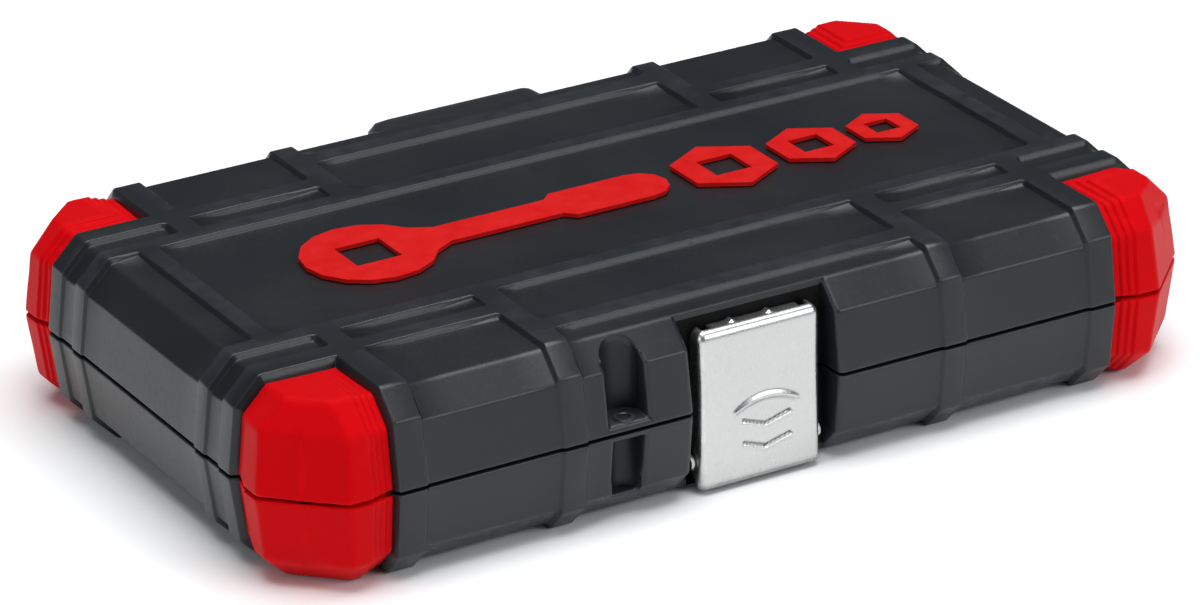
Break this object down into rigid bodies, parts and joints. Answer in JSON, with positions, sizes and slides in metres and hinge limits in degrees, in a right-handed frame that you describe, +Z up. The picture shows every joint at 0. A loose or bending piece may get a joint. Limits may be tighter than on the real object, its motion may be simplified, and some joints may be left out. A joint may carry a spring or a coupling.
{
  "type": "socket wrench set in case",
  "caption": "Flat hinged hard case with corner caps and a steel flap latch, holding a ratchet, spinner, sockets, bars, universal joint and bits in a tray.",
  "frame": {"origin": "centre of the case's underside, at the middle of the whole object's box", "axes": "+Z up through the lid, -Y out of the latch side, +X to the right seen from the latch, along the long side"},
  "size_m": [0.19, 0.1194, 0.0355],
  "materials": {
    "case_black": "fine satin grain",
    "corner_red": "satin",
    "badge_red": "satin",
    "latch_steel": "bright zinc-plated, fine brushed",
    "pin_steel": "plain",
    "tool_chrome": "polished chrome vanadium",
    "dark_steel": "blackened",
    "bit_steel": "sandblasted",
    "grip_red": "matt",
    "tray_black": "matt",
    "liner_foam": "open-cell foam"
  },
  "bodies": {
    "base": {"base_shell": "case_black", "base_cap_front_left": "corner_red", "base_cap_front_right": "corner_red", "base_cap_rear_left": "corner_red", "base_cap_rear_right": "corner_red", "hinge_pin": "pin_steel", "latch_pin": "pin_steel", "tool_tray": "tray_black", "socket_4mm": "tool_chrome", "socket_5mm": "tool_chrome", "socket_5_5mm": "tool_chrome", "socket_6mm": "tool_chrome", "socket_7mm": "tool_chrome", "socket_8mm": "tool_chrome", "socket_9mm": "tool_chrome", "socket_10mm": "tool_chrome", "socket_11mm": "tool_chrome", "socket_12mm": "tool_chrome", "socket_13mm": "tool_chrome", "socket_14mm": "tool_chrome", "extension_bar_long": "tool_chrome", "extension_bar_short": "tool_chrome", "bit_adaptor": "tool_chrome", "joint_socket_end": "tool_chrome", "ratchet_body": "tool_chrome", "ratchet_grip": "grip_red", "spinner_grip": "grip_red", "spinner_blade": "tool_chrome", "bit_1": "bit_steel", "bit_2": "bit_steel", "bit_3": "bit_steel", "bit_4": "bit_steel", "bit_5": "bit_steel", "bit_6": "bit_steel", "bit_7": "bit_steel", "bit_8": "bit_steel", "bit_9": "bit_steel", "bit_10": "bit_steel"},
    "lid": {"lid_shell": "case_black", "lid_cap_front_left": "corner_red", "lid_cap_front_right": "corner_red", "lid_cap_rear_left": "corner_red", "lid_cap_rear_right": "corner_red", "badge_ratchet": "badge_red", "badge_hexagon_1": "badge_red", "badge_hexagon_2": "badge_red", "badge_hexagon_3": "badge_red", "lid_foam_liner": "liner_foam"},
    "latch": {"latch_flap": "latch_steel"},
    "ratchet_drive": {"ratchet_anvil": "tool_chrome"},
    "reverse_lever": {"ratchet_reverse_lever": "dark_steel"},
    "release_button": {"ratchet_release_button": "dark_steel"},
    "joint_spider": {"joint_cross": "dark_steel"},
    "joint_drive": {"joint_drive_end": "tool_chrome"}
  },
  "joints": [
    {"name": "lid_hinge", "type": "hinge", "parent": "base", "child": "lid", "pos_m": [0, 0.0573, 0.01775], "axis": [-1, 0, 0], "range_deg": [0, 180]},
    {"name": "latch_hinge", "type": "hinge", "parent": "base", "child": "latch", "pos_m": [0, -0.0535, 0.00595], "axis": [1, 0, 0], "range_deg": [0, 95]},
    {"name": "ratchet_drive_spin", "type": "hinge", "parent": "base", "child": "ratchet_drive", "pos_m": [-0.065, 0.0367, 0.01775], "axis": [0, 0, 1], "continuous": true},
    {"name": "reverse_lever_turn", "type": "hinge", "parent": "base", "child": "reverse_lever", "pos_m": [-0.0556, 0.0367, 0.02375], "axis": [0, 0, 1], "range_deg": [0, 44]},
    {"name": "release_button_press", "type": "slide", "parent": "base", "child": "release_button", "axis": [0, 0, -1], "range_m": [0, 0.0012], "stiffness_N_per_m": 400, "springref_m": -0.002},
    {"name": "universal_joint_lift", "type": "hinge", "parent": "base", "child": "joint_spider", "pos_m": [0.064, -0.0095, 0.01095], "axis": [0, -1, 0], "range_deg": [0, 30]},
    {"name": "universal_joint_swing", "type": "hinge", "parent": "joint_spider", "child": "joint_drive", "pos_m": [0.064, -0.0095, 0.01095], "axis": [0, 0, 1], "range_deg": [-20, 20]}
  ]
}
